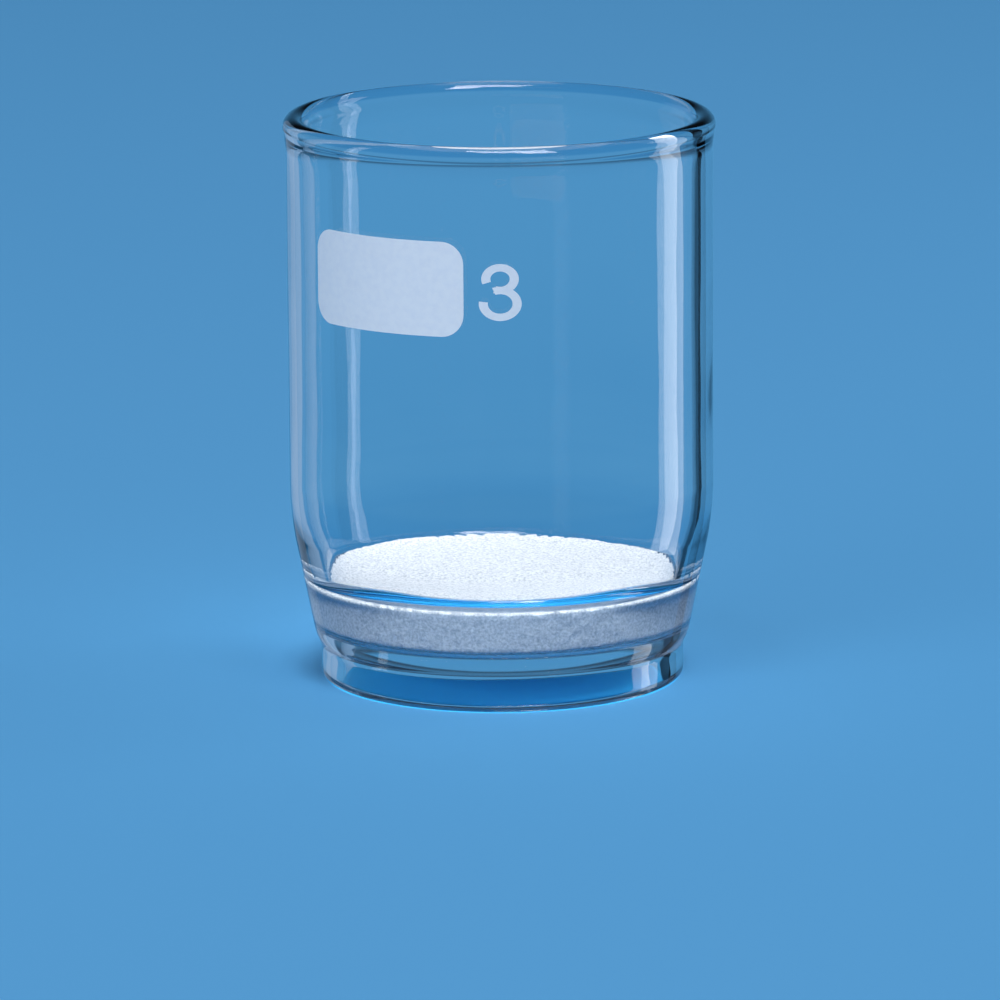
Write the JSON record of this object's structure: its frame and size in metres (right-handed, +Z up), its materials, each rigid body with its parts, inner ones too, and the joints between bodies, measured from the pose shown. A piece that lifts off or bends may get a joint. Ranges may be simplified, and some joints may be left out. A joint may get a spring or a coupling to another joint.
{
  "type": "fritted filter crucible",
  "caption": "Small clear glass filter crucible with a beaded rim, a fused sintered glass disc near the bottom, and a short foot ring.",
  "frame": {"origin": "centre of the foot ring, on the plane that the crucible stands on", "axes": "+Z up along the axis of the vessel, from the foot to the mouth; the marking patch of the dressed model faces -Y and a little -X"},
  "size_m": [0.0386, 0.0386, 0.051],
  "materials": {
    "clear_glass": "fire-polished clear borosilicate glass, colourless with a faint cool edge",
    "sintered_glass": "matt white, finely granular sintered borosilicate glass",
    "white_enamel": "thin fired white enamel print, satin, slightly uneven"
  },
  "bodies": {
    "root": {"glass_body": "clear_glass", "sintered_disc": "sintered_glass"}
  },
  "joints": []
}
